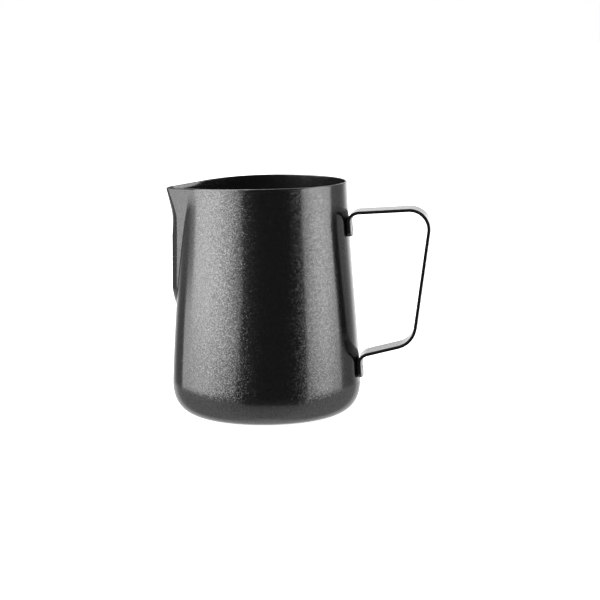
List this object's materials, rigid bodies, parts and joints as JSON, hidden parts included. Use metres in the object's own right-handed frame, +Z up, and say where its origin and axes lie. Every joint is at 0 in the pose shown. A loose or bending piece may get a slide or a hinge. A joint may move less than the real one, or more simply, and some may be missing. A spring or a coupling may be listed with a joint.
{
  "type": "milk frothing pitcher",
  "caption": "Tapered steel jug with a rounded base corner, a pressed V spout opposite a flat strap handle, for steaming and pouring milk.",
  "frame": {"origin": "centre of the base's flat underside, where the jug stands", "axes": "+Z up along the jug's axis, +X towards the handle, the spout's tip towards -X; the object is symmetric across the XZ plane"},
  "size_m": [0.1257, 0.0896, 0.111],
  "materials": {
    "black_coating": "glossy black coating full of fine metallic flakes, on stainless steel sheet",
    "handle_coating": "the same glossy black flake coating, on a steel strap",
    "weld_steel": "fused bare steel, hidden between the strap's feet and the wall"
  },
  "bodies": {
    "root": {"jug_body": "black_coating", "strap_handle": "handle_coating", "spot_weld_upper_left": "weld_steel", "spot_weld_upper_right": "weld_steel", "spot_weld_lower_left": "weld_steel", "spot_weld_lower_right": "weld_steel"}
  },
  "joints": []
}
